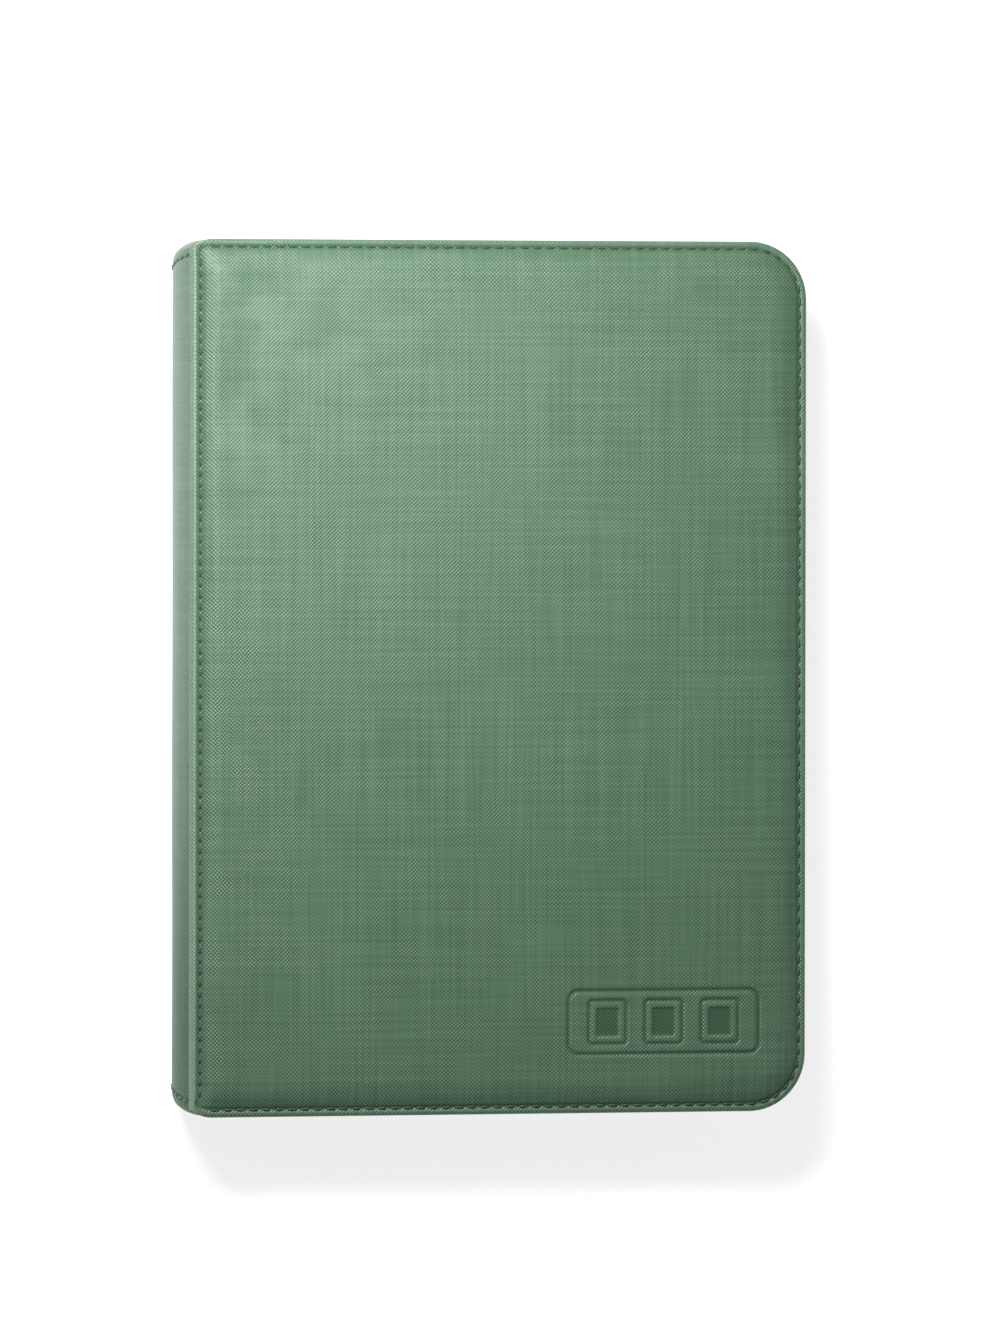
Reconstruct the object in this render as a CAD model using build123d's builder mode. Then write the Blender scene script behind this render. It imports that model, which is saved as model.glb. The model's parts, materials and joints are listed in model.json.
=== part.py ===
from build123d import *
import os
from math import acos, atan2, degrees, sqrt

# A zip-up pocket album with padded covers, lying closed on its back cover.
# Millimetres. The origin is the middle of the footprint, on the surface that it lies on.
# +X points to the fore edge, +Y to the head and +Z out of the front cover.
os.makedirs("parts", exist_ok=True)

# Overall sizes
height = 345.0  # head to tail
cover_width = 250.0  # spine crease to fore edge
thickness = 38.0  # closed, over both padded covers
fore_radius = 23.0  # plan radius of the two fore corners
crease_radius = 12.8  # plan radius of the soft corners beside the spine
crease_drop = 2.8  # how far those corners fall back at the crease

# Cover layers, from the outside in
skin = 1.0
foam = 2.0
board = 2.0
lining = 0.6
rim_width = 5.0  # flat sewn rim round the padding
rim_drop = 2.4  # rim below the top of the padding
pad_round = 2.0  # shoulder of the padding
pad_corner = 8.0  # plan radius of the padding beside the spine
lining_margin = 1.5  # lining's edge inside the cover's edge
side_clearance = 0.4  # board and foam inside the padded skin

# Spine
spine_bulge = 2.2  # crown of the padded spine
crease_gap = 0.3  # hinge strip to the crease line
spine_gap = 1.3  # edge of the spine panel to the crease line
spine_clearance = 0.4  # spine panel's inner face to the thick part of a cover
end_drop = 8.0  # how far the curved ends of the spine fall back in the middle
spine_hem = 3.5  # sewn hem at each end of the spine

# Stitching
stitch_pitch = 5.2
stitch_length = 3.9
hinge_stitch_pitch = 4.35
hinge_stitch_length = 3.0
thread_width = 0.8
thread_height = 0.4
edge_seam = 3.0  # seam inside the cover's edge
hinge_seam = 3.1  # seam beside the crease

# Pocket leaves
leaf_count = 20
leaf_core = 0.30
pocket_film = 0.12
stack_clearance = 0.4  # cover lining to the room of the outermost leaf
binding = 0.6  # binding strip on the spine's lining
first_stub = 1.5  # stub of the outermost leaves
stub_step = 0.9  # each leaf's stub is this much longer, towards the middle
fold_gap = 0.3  # stub and leaf to the fold line
leaf_clearance = 10.0  # leaf to the zip slider at head and tail
fore_clearance = 8.0  # leaf to the zip slider at the fore edge
pocket_margin = 1.8  # longest stub's fold to the pockets
leaf_border = 5.0  # head and tail edge of a leaf to its pockets
fore_border = 3.0  # fore edge of a leaf to its pockets
pocket_rows = 3
weld = 3.0  # welded strip between two rows of pockets

# Zip
zip_inset = 5.3  # middle of the tape inside the cover's edge
zip_start = 12.0  # crease to the spine end of the tapes
tape = 0.6
chain_width = 2.4
chain_depth = 2.4  # one half of the chain
chain_gap = 1.2  # between the two halves
stop_length = 1.6
slider_length = 12.0
slider_gap = 0.3  # running clearance of the slider
slider_wall = 1.0
slider_lip = 0.9
slider_flare = 0.7  # how much the mouth is wider
post_length = 1.6
post_height = 1.0
pull_length = 26.0
pull_width = 7.0
pull_thickness = 1.0
pull_slot = 2.4  # opening that the bridge passes through
pull_slot_length = 3.8
bridge_width = 1.6
bridge_wall = 0.7
bridge_half = 2.4
bridge_gap = 0.2

# Levels and places that follow
z_mid = thickness / 2
z_rim = thickness - rim_drop
z_foam = thickness - skin
z_board = z_foam - foam
z_hem = z_board - board
z_lining = z_hem - lining
spine_depth = skin + board + lining
thick_start = spine_depth + spine_clearance
x_fore = (cover_width + spine_bulge + thread_height) / 2
x_crease = x_fore - cover_width
x_spine = x_crease + spine_depth
x_bound = x_spine + binding
y_head = height / 2
crease_low = rim_drop
crease_high = z_rim
middle = Plane.XY.offset(z_mid)

leaf_pitch = (2 * z_lining - thickness - 2 * stack_clearance) / leaf_count
longest_stub = first_stub + stub_step * (leaf_count / 2 - 1)
slider_reach = chain_width / 2 + slider_gap
slider_inset = zip_inset + slider_reach + slider_wall
leaf_half_height = y_head - slider_inset - leaf_clearance
leaf_end = x_fore - slider_inset - fore_clearance
pocket_start = x_spine + longest_stub + fold_gap + pocket_margin
pocket_end = leaf_end - fore_border
row_height = (2 * (leaf_half_height - leaf_border) + weld) / pocket_rows


def cover_plan(z, inset, start, radius, drop):
    """Plan of one layer of a cover: round fore corners, soft corners beside the crease."""
    x_start = x_crease + start
    x_end = x_fore - inset
    half = y_head - inset
    corner = fore_radius - inset
    run = sqrt(2 * radius * drop - drop**2)
    turn = degrees(acos(1 - drop / radius))
    with BuildSketch(Plane.XY.offset(z), mode=Mode.PRIVATE) as plan:
        with BuildLine():
            head = Line((x_start + run, half), (x_end - corner, half))
            JernArc(start=head @ 1, tangent=(1, 0), radius=corner, arc_size=-90)
            JernArc(start=head @ 0, tangent=(-1, 0), radius=radius, arc_size=turn)
            Line((x_start, 0), (x_start, half - drop))
            Line((x_end, 0), (x_end, half - corner))
            mirror(about=Plane.XZ)
        make_face()
    return plan.sketch


def pad_plan(z, inset):
    """Plan of the padding or of a layer inside it, with a round corner beside the spine."""
    return cover_plan(z, inset, inset, pad_corner, pad_corner)


def zip_band(z, width, start):
    """Plan of a band along the zip, round tail, fore edge and head, open at the spine."""
    x_start = x_crease + start
    half = y_head - zip_inset
    turn = fore_radius - zip_inset
    with BuildSketch(Plane.XY.offset(z), mode=Mode.PRIVATE) as band:
        with BuildLine():
            tail = Line((x_start, -half), (x_fore - fore_radius, -half))
            bend = JernArc(start=tail @ 1, tangent=(1, 0), radius=turn, arc_size=90)
            fore = Line(bend @ 1, (x_fore - zip_inset, y_head - fore_radius))
            bend = JernArc(start=fore @ 1, tangent=(0, 1), radius=turn, arc_size=90)
            Line(bend @ 1, (x_start, half))
            offset(amount=width / 2, side=Side.BOTH)
        make_face()
        with Locations((x_start, 0)):
            Rectangle(cover_width, height, align=(Align.MAX, Align.CENTER), mode=Mode.SUBTRACT)
    return band.sketch


def seam_places(seam, pitch, z):
    """Places of the stitches along a seam, each turned to lie along it."""
    count = round(seam.length / pitch)
    places = []
    for i in range(count):
        point = seam.position_at((i + 0.5) / count)
        along = seam.tangent_at((i + 0.5) / count)
        places.append(Location((point.X, point.Y, z), (0, 0, degrees(atan2(along.Y, along.X)))))
    return places


def thread(length):
    """One stitch, lying on the surface at the current place."""
    Box(length, thread_width, thread_height, align=(Align.CENTER, Align.CENTER, Align.MIN))


# Front cover: padded skin with a flat rim, and a thin hinge strip beside the crease
with BuildPart() as front_skin:
    extrude(cover_plan(z_hem, 0, crease_gap, crease_radius, crease_drop), amount=z_rim - z_hem)
    extrude(pad_plan(z_rim, rim_width), amount=rim_drop)
    fillet(front_skin.faces().sort_by(Axis.Z)[-1].edges(), radius=pad_round)
    extrude(pad_plan(z_hem, rim_width + skin), amount=z_foam - z_hem, mode=Mode.SUBTRACT)
    with BuildSketch(Plane.XY.offset(z_hem)):
        with Locations((x_crease, 0)):
            Rectangle(thick_start, height, align=(Align.MIN, Align.CENTER))
    extrude(amount=z_rim - skin - z_hem, mode=Mode.SUBTRACT)
front_skin.part.label = "front_skin"

with BuildPart() as front_foam:
    extrude(pad_plan(z_board, rim_width + skin + side_clearance), amount=foam)
front_foam.part.label = "front_foam"

with BuildPart() as front_board:
    extrude(pad_plan(z_hem, rim_width + skin + side_clearance), amount=board)
front_board.part.label = "front_board"

with BuildPart() as front_lining:
    lining_plan = cover_plan(z_lining, lining_margin, thick_start, crease_radius, crease_drop)
    extrude(lining_plan, amount=lining)
front_lining.part.label = "front_lining"

# Seams of the front cover
with BuildLine() as edge_seam_line:
    seam_half = y_head - edge_seam
    seam_turn = fore_radius - edge_seam
    tail_run = Line((x_crease + rim_width + stitch_pitch, -seam_half), (x_fore - fore_radius, -seam_half))
    tail_turn = JernArc(start=tail_run @ 1, tangent=(1, 0), radius=seam_turn, arc_size=90)
    fore_run = Line(tail_turn @ 1, (x_fore - edge_seam, y_head - fore_radius))
    head_turn = JernArc(start=fore_run @ 1, tangent=(0, 1), radius=seam_turn, arc_size=90)
    Line(head_turn @ 1, (x_crease + rim_width + stitch_pitch, seam_half))

with BuildLine() as hinge_seam_line:
    hinge_half = y_head - rim_width - crease_drop
    Line((x_crease + hinge_seam, -hinge_half), (x_crease + hinge_seam, hinge_half))

with BuildPart() as front_edge_stitching:
    with Locations(*seam_places(edge_seam_line.wire(), stitch_pitch, z_rim)):
        thread(stitch_length)
front_edge_stitching.part.label = "front_edge_stitching"

with BuildPart() as front_hinge_stitching:
    with Locations(*seam_places(hinge_seam_line.wire(), hinge_stitch_pitch, z_rim)):
        thread(hinge_stitch_length)
front_hinge_stitching.part.label = "front_hinge_stitching"

# Front half of the zip: tape, chain and the stops at its two ends
z_chain = z_mid + chain_gap / 2
z_tape = z_chain + chain_depth
front_chain_start = zip_start + stop_length + slider_length + 2 * slider_gap

with BuildPart() as front_zip_tape:
    extrude(zip_band(z_tape, tape, zip_start), amount=z_lining - z_tape)
front_zip_tape.part.label = "front_zip_tape"


def chain_ends(tail_start, head_start):
    """Places of the two end stops, at the tail and at the head."""
    ends = ((tail_start, -1), (head_start, 1))
    return [(x_crease + start, side * (y_head - zip_inset)) for start, side in ends]


with BuildPart() as front_zip_chain:
    extrude(zip_band(z_chain, chain_width, zip_start + stop_length), amount=chain_depth)
    with BuildSketch(Plane.XY.offset(z_chain)):
        with Locations((x_crease + front_chain_start + stop_length, -y_head)):
            Rectangle(cover_width, fore_radius, align=(Align.MAX, Align.MIN))
    extrude(amount=chain_depth, mode=Mode.SUBTRACT)
front_zip_chain.part.label = "front_zip_chain"

with BuildPart() as front_zip_stops:
    with BuildSketch(Plane.XY.offset(z_chain)):
        with Locations(*chain_ends(front_chain_start, zip_start)):
            Rectangle(stop_length, chain_width, align=(Align.MIN, Align.CENTER))
    extrude(amount=chain_depth)
front_zip_stops.part.label = "front_zip_stops"

# Back cover: the front cover's layers turned over about the middle of the album
with BuildPart() as back_skin:
    mirror(front_skin.part, about=middle)
back_skin.part.label = "back_skin"

with BuildPart() as back_foam:
    mirror(front_foam.part, about=middle)
back_foam.part.label = "back_foam"

with BuildPart() as back_board:
    mirror(front_board.part, about=middle)
back_board.part.label = "back_board"

with BuildPart() as back_lining:
    mirror(front_lining.part, about=middle)
back_lining.part.label = "back_lining"

with BuildPart() as back_edge_stitching:
    mirror(front_edge_stitching.part, about=middle)
back_edge_stitching.part.label = "back_edge_stitching"

with BuildPart() as back_hinge_stitching:
    mirror(front_hinge_stitching.part, about=middle)
back_hinge_stitching.part.label = "back_hinge_stitching"

with BuildPart() as back_zip_tape:
    mirror(front_zip_tape.part, about=middle)
back_zip_tape.part.label = "back_zip_tape"

with BuildPart() as back_zip_chain:
    extrude(zip_band(z_mid - chain_gap / 2, chain_width, zip_start + stop_length), amount=-chain_depth)
back_zip_chain.part.label = "back_zip_chain"

with BuildPart() as back_zip_stops:
    with BuildSketch(Plane.XY.offset(z_mid - chain_gap / 2)):
        with Locations(*chain_ends(zip_start, zip_start)):
            Rectangle(stop_length, chain_width, align=(Align.MIN, Align.CENTER))
    extrude(amount=-chain_depth)
back_zip_stops.part.label = "back_zip_stops"


# Spine: a crowned skin over foam, a flat board and a lining, with curved-in ends
z_panel = crease_low + spine_gap
z_panel_top = crease_high - spine_gap
spine_half = (z_panel_top - z_panel) / 2
crown_radius = (spine_half**2 + spine_bulge**2) / (2 * spine_bulge)


def spine_plan(margin):
    """The spine seen from outside: both ends curve in between the creases."""
    edge = y_head - crease_drop - margin
    deep = y_head - end_drop - margin
    with BuildSketch(Plane.YZ.offset(x_crease - height), mode=Mode.PRIVATE) as plan:
        with BuildLine():
            ThreePointArc((edge, z_panel), (deep, z_mid), (edge, z_panel_top))
            Line((edge, z_panel_top), (-edge, z_panel_top))
            ThreePointArc((-edge, z_panel_top), (-deep, z_mid), (-edge, z_panel))
            Line((-edge, z_panel), (edge, z_panel))
        make_face()
    return plan.sketch


def spine_crown(x):
    """Crowned side of a spine layer, from its lower edge to its upper edge."""
    ThreePointArc((x, z_panel), (x - spine_bulge, z_mid), (x, z_panel_top))


def spine_slab(x, depth):
    """Section of a flat layer of the spine."""
    with BuildSketch(Plane.XZ, mode=Mode.PRIVATE) as slab:
        with Locations((x, z_mid)):
            Rectangle(depth, 2 * spine_half, align=(Align.MIN, Align.CENTER))
    return slab.sketch


with BuildPart() as spine_skin:
    with BuildSketch(Plane.XZ):
        with BuildLine():
            spine_crown(x_crease)
            spine_crown(x_crease + skin)
            Line((x_crease, z_panel), (x_crease + skin, z_panel))
            Line((x_crease, z_panel_top), (x_crease + skin, z_panel_top))
        make_face()
    extrude(amount=y_head, both=True)
    extrude(spine_plan(0), amount=2 * height, mode=Mode.INTERSECT)
spine_skin.part.label = "spine_skin"

with BuildPart() as spine_foam:
    with BuildSketch(Plane.XZ):
        with BuildLine():
            spine_crown(x_crease + skin)
            Line((x_crease + skin, z_panel), (x_crease + skin, z_panel_top))
        make_face()
    extrude(amount=y_head, both=True)
    extrude(spine_plan(spine_hem), amount=2 * height, mode=Mode.INTERSECT)
spine_foam.part.label = "spine_foam"

with BuildPart() as spine_board:
    extrude(spine_slab(x_crease + skin, board), amount=y_head, both=True)
    extrude(spine_plan(spine_hem), amount=2 * height, mode=Mode.INTERSECT)
spine_board.part.label = "spine_board"

with BuildPart() as spine_lining:
    extrude(spine_slab(x_crease + skin + board, lining), amount=y_head, both=True)
    extrude(spine_plan(lining_margin), amount=2 * height, mode=Mode.INTERSECT)
spine_lining.part.label = "spine_lining"

# Stitches across the curved ends of the spine, lying on its crown
with BuildLine(Plane.YZ) as spine_seam:
    ThreePointArc(
        (y_head - crease_drop - edge_seam, z_panel),
        (y_head - end_drop - edge_seam, z_mid),
        (y_head - crease_drop - edge_seam, z_panel_top),
    )

with BuildPart() as spine_stitching:
    end_seam = spine_seam.wire()
    stitch_count = round(end_seam.length / stitch_pitch)
    for i in range(stitch_count):
        point = end_seam.position_at((i + 0.5) / stitch_count)
        along = end_seam.tangent_at((i + 0.5) / stitch_count)
        rise = point.Z - z_mid
        normal = Vector(-sqrt(crown_radius**2 - rise**2), 0, rise)
        x_seat = x_crease - spine_bulge + crown_radius - sqrt(crown_radius**2 - rise**2)
        for side in (1, -1):
            run = Vector(0, side * along.Y, along.Z)
            flat_run = run - normal * (run.dot(normal) / crown_radius**2)
            seat = Plane(origin=(x_seat, side * point.Y, point.Z), x_dir=flat_run, z_dir=normal)
            with Locations(seat.location):
                thread(stitch_length)
spine_stitching.part.label = "spine_stitching"

# Binding: a strip on the spine's lining, with one stub for each leaf
leaves = range(leaf_count)
leaf_levels = [z_mid + (i - (leaf_count - 1) / 2) * leaf_pitch for i in leaves]
leaf_folds = [x_spine + first_stub + stub_step * min(i, leaf_count - 1 - i) for i in leaves]

with BuildPart() as binding_strip:
    with BuildSketch(Plane.XY.offset(leaf_levels[0] - leaf_pitch / 2)):
        with Locations((x_spine, 0)):
            Rectangle(binding, 2 * leaf_half_height, align=(Align.MIN, Align.CENTER))
    extrude(amount=leaf_count * leaf_pitch)
binding_strip.part.label = "binding_strip"

with BuildPart() as leaf_stubs:
    for level, fold in zip(leaf_levels, leaf_folds):
        with BuildSketch(Plane.XY.offset(level - leaf_core / 2)):
            with Locations((x_bound, 0)):
                stub_length = fold - fold_gap - x_bound
                Rectangle(stub_length, 2 * leaf_half_height, align=(Align.MIN, Align.CENTER))
        extrude(amount=leaf_core)
leaf_stubs.part.label = "leaf_stubs"

# Leaves: a core sheet with three rows of clear pockets welded to each face
for number, (level, fold) in enumerate(zip(leaf_levels, leaf_folds), start=1):
    with BuildPart() as leaf:
        with Locations((fold + fold_gap, 0, level)):
            Box(
                leaf_end - fold - fold_gap,
                2 * leaf_half_height,
                leaf_core,
                align=(Align.MIN, Align.CENTER, Align.CENTER),
            )
        with Locations((pocket_start, 0, level)):
            with GridLocations(0, row_height, 1, pocket_rows):
                Box(
                    pocket_end - pocket_start,
                    row_height - weld,
                    leaf_core + 2 * pocket_film,
                    align=(Align.MIN, Align.CENTER, Align.CENTER),
                )
    leaf.part.label = f"leaf_{number:02d}"
    export_step(leaf.part, f"parts/leaf_{number:02d}.step")

# Zip slider: two plates joined by a post at the mouth, with lips over the chain and a bridge
y_zip = zip_inset - y_head
x_slider = x_crease + zip_start + stop_length + slider_gap
slider_half = chain_gap / 2 + chain_depth + slider_gap + slider_lip
x_pin = x_slider + slider_length / 2
pin_radius = pull_thickness / 2
y_plate = y_zip - slider_reach - slider_wall
y_pin = y_plate - bridge_gap - pin_radius

with BuildPart() as zip_slider:
    for y_face in (y_plate + slider_wall, y_zip + slider_reach + slider_wall):
        with BuildSketch(Plane.XZ.offset(-y_face)) as plate:
            with BuildLine():
                Polyline(
                    (x_slider, z_mid - slider_half - slider_flare),
                    (x_slider + slider_length, z_mid - slider_half),
                    (x_slider + slider_length, z_mid + slider_half),
                    (x_slider, z_mid + slider_half + slider_flare),
                    close=True,
                )
            make_face()
            fillet(plate.vertices(), radius=slider_lip)
        extrude(amount=slider_wall)
    lip_depth = slider_reach - tape / 2 - slider_gap
    for y_lip in (y_zip - slider_reach + lip_depth / 2, y_zip + slider_reach - lip_depth / 2):
        for side in (1, -1):
            z_lip = z_mid + side * (slider_half - slider_lip / 2)
            with Locations((x_slider + slider_length / 2, y_lip, z_lip)):
                Box(slider_length - 2 * slider_lip, lip_depth, slider_lip)
    with Locations((x_slider, y_zip, z_mid)):
        Box(post_length, 2 * slider_reach, post_height, align=(Align.MIN, Align.CENTER, Align.CENTER))
    bridge_reach = y_plate - y_pin + pin_radius + bridge_gap
    with BuildSketch(Plane.XY.offset(z_mid)):
        with Locations((x_pin, y_plate)):
            Rectangle(2 * bridge_half, bridge_reach + bridge_wall, align=(Align.CENTER, Align.MAX))
            Rectangle(
                2 * (bridge_half - bridge_wall),
                bridge_reach,
                align=(Align.CENTER, Align.MAX),
                mode=Mode.SUBTRACT,
            )
    extrude(amount=bridge_width / 2, both=True)
zip_slider.part.label = "zip_slider"

# Zip pull: a pin under the bridge, two arms and a tab with a slot
with BuildPart() as zip_pull:
    with BuildSketch(Plane.XZ.offset(-y_pin)) as tab:
        with Locations((x_pin, z_mid)):
            SlotOverall(2 * pull_length, pull_width)
            Rectangle(2 * pull_length, pull_width, align=(Align.MAX, Align.CENTER), mode=Mode.SUBTRACT)
            Rectangle(2 * pull_slot_length, pull_slot, mode=Mode.SUBTRACT)
        with Locations((x_pin + pull_length - pull_width, z_mid)):
            SlotOverall(pull_width, pull_slot, mode=Mode.SUBTRACT)
    extrude(amount=pull_thickness / 2, both=True)
    with Locations((x_pin, y_pin, z_mid)):
        Cylinder(pin_radius, pull_width)
zip_pull.part.label = "zip_pull"

for piece in (
    front_skin,
    front_foam,
    front_board,
    front_lining,
    front_edge_stitching,
    front_hinge_stitching,
    front_zip_tape,
    front_zip_chain,
    front_zip_stops,
    back_skin,
    back_foam,
    back_board,
    back_lining,
    back_edge_stitching,
    back_hinge_stitching,
    back_zip_tape,
    back_zip_chain,
    back_zip_stops,
    spine_skin,
    spine_foam,
    spine_board,
    spine_lining,
    spine_stitching,
    binding_strip,
    leaf_stubs,
    zip_slider,
    zip_pull,
):
    export_step(piece.part, f"parts/{piece.part.label}.step")
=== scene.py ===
# %% [markdown]
# # A zip-up pocket album
# The album lies closed on its back cover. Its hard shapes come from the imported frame. Here every soft or
# woven piece gets its real surface: the padded skins, the seams, the zip, the linings and the pocket leaves.
# The frame is loaded first, because all places and sizes below are read from it.

import json
import math

import bmesh
import bpy
import numpy as np
from mathutils import Matrix, Vector


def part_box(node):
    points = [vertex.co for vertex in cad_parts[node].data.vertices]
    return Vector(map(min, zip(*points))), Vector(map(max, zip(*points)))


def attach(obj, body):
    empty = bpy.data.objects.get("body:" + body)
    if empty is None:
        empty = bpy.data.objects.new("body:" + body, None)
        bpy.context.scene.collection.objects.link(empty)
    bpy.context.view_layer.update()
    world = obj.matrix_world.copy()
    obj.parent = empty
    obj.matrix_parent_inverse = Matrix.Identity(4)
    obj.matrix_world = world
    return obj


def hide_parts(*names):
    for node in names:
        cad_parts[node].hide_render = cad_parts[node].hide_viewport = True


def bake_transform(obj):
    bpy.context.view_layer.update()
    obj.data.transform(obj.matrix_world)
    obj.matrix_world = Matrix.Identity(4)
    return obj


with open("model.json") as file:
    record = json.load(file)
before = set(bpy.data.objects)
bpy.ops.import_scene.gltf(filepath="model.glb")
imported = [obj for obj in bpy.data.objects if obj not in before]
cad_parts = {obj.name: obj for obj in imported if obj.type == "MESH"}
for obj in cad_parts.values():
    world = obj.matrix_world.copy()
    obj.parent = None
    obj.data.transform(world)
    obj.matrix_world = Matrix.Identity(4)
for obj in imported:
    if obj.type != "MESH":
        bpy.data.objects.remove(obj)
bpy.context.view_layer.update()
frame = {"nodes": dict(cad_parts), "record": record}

# %% [markdown]
# ## Sizes that everything shares
# Blender works in metres and the surfaces below are easier to read in millimetres, so the frame's boxes and
# hinge lines are turned into millimetres once. A node's box gives its outer faces, and the two hinge joints
# give the crease lines that the covers turn about.

# %% Read sizes from the frame
MM = 0.001
JOINTS = {joint["name"]: joint for joint in frame["record"]["behaviour"]["joints"]}


def box_mm(node):
    """Lowest and highest corner of a CAD node, in millimetres."""
    low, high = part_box(node)
    return np.array(low) / MM, np.array(high) / MM


skin_low, skin_high = box_mm("front_skin")
lining_low, _ = box_mm("front_lining")
tape_low, tape_high = box_mm("front_zip_tape")
X_CREASE = JOINTS["album_open"]["pos_m"][0] / MM
Z_RIM = JOINTS["front_cover_turn"]["pos_m"][2] / MM  # top of the flat sewn rim
X_FORE, HALF, TOP = skin_high  # fore edge, half the height, top of the padding
Z_HEM = skin_low[2]  # underside of the turned-in hem
Z_LINING = lining_low[2]  # inner face of the front cover's lining
MID = TOP / 2
FORE_RADIUS = 23.0  # the round fore corners
CREASE_RADIUS = 12.8  # the soft corners beside the spine
FRONT_DROP = 2.8  # how far the front cover's soft corners fall back at the crease
BACK_DROP = 9.0  # the same on the back cover, whose corners are drawn in further
SPINE_BULGE = 3.3
TAPE_HALF = 0.3
ZIP_INSET = HALF - tape_high[1] + TAPE_HALF  # from the outline to the middle of the tape
print("crease x", X_CREASE, "fore x", X_FORE, "half height", HALF, "rim", Z_RIM, "zip inset", ZIP_INSET)

# %% [markdown]
# ## From arrays to meshes
# Each surface is a block of points worked out with numpy and a block of faces. A grid of rows and columns
# covers most shapes, and one helper puts any of them into Blender. Where rings close on themselves, doubled
# points are merged. A second layer of coordinates, called cloth, says where each point lies on the flat
# material, in millimetres, so that the weave runs round edges without sliding.

# %% Mesh helpers
CLOSE = 1e-3  # points nearer than this, in millimetres, become one
NO_AREA = 1e-14  # square metres


def grid_faces(rows, columns, around=False, start=0):
    """Quads (r, c), (r, c+1), (r+1, c+1), (r+1, c) of a grid; around joins the last column to the first."""
    r = np.arange(rows - 1)[:, None]
    c = np.arange(columns if around else columns - 1)[None, :]
    right = (c + 1) % columns
    corners = (r * columns + c, r * columns + right, (r + 1) * columns + right, (r + 1) * columns + c)
    return np.stack(corners, axis=-1).reshape(-1, 4) + start


def copies(faces, size, count):
    """Faces of that many copies of a shape with size points, one after another."""
    return [[i + k * size for i in face] for k in range(count) for face in faces]


def grid_points(gx, gy):
    """Every crossing of two sets of grid lines, row by row."""
    mesh_x, mesh_y = np.meshgrid(gx, gy)
    return np.column_stack([mesh_x.ravel(), mesh_y.ravel()])


def at_level(plan, level):
    """Plan points lifted to a level, or each to its own."""
    return np.column_stack([plan, np.broadcast_to(level, len(plan))])


def turn_over(points, faces):
    """The back cover's copy of a shape: mirrored about the middle of the album, with its faces outward again."""
    faces = faces[:, ::-1] if isinstance(faces, np.ndarray) else [face[::-1] for face in faces]
    return points * (1, 1, -1) + (0, 0, TOP), faces


def make_piece(name, points, faces, finish=None, cloth=None, values=None, merge=0.0, smooth=True):
    """A mesh object from points in millimetres; cloth is a flat place, and values are numbers, per point."""
    mesh = bpy.data.meshes.new(name)
    faces = faces.tolist() if isinstance(faces, np.ndarray) else faces
    mesh.from_pydata((np.asarray(points) * MM).tolist(), [], faces)
    if cloth is not None:
        corner = np.zeros(len(mesh.loops), dtype=np.int32)
        mesh.loops.foreach_get("vertex_index", corner)
        layer = mesh.uv_layers.new(name="cloth")
        layer.data.foreach_set("uv", np.asarray(cloth, dtype=np.float32)[corner].ravel())
    for label, numbers in (values or {}).items():
        mesh.attributes.new(label, "FLOAT", "POINT").data.foreach_set("value", np.asarray(numbers, np.float32))
    work = bmesh.new()
    work.from_mesh(mesh)
    if merge:
        bmesh.ops.remove_doubles(work, verts=work.verts, dist=merge * MM)
    flat = [face for face in work.faces if face.calc_area() < NO_AREA]
    bmesh.ops.delete(work, geom=flat, context="FACES_ONLY")
    work.to_mesh(mesh)
    work.free()
    mesh.shade_smooth() if smooth else mesh.shade_flat()
    if finish is not None:
        mesh.materials.append(finish)
    piece = bpy.data.objects.new(name, mesh)
    bpy.context.scene.collection.objects.link(piece)
    print(name, len(mesh.vertices), "points", len(mesh.polygons), "faces")
    return piece


def hang(piece, body, slot, *replaced):
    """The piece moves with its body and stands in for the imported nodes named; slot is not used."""
    if replaced:
        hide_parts(*replaced)
    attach(piece, body)


def ramp(t):
    """Smooth step: 0 below 0, 1 above 1, and 3t^2 - 2t^3 between."""
    t = np.clip(t, 0, 1)
    return t * t * (3 - 2 * t)


def swell(t, power):
    """Height of a stuffed edge: 1 - (1 - t)^power, which is steep at the seam and flat at the top."""
    return 1 - (1 - np.clip(t, 0, 1)) ** power


def dent(distance, width):
    """A soft groove: a bell curve, 1 on its line and gone two widths away."""
    return np.exp(-((distance / width) ** 2))


# %% [markdown]
# ## Materials
# Every finish is built from nodes. One helper adds a node and sets or links its inputs, and short ways to the
# usual nodes let each finish below read as a list of what it is made of. Patterns read the cloth coordinates
# where a piece has them, and object coordinates otherwise.

# %% Node helpers


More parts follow.
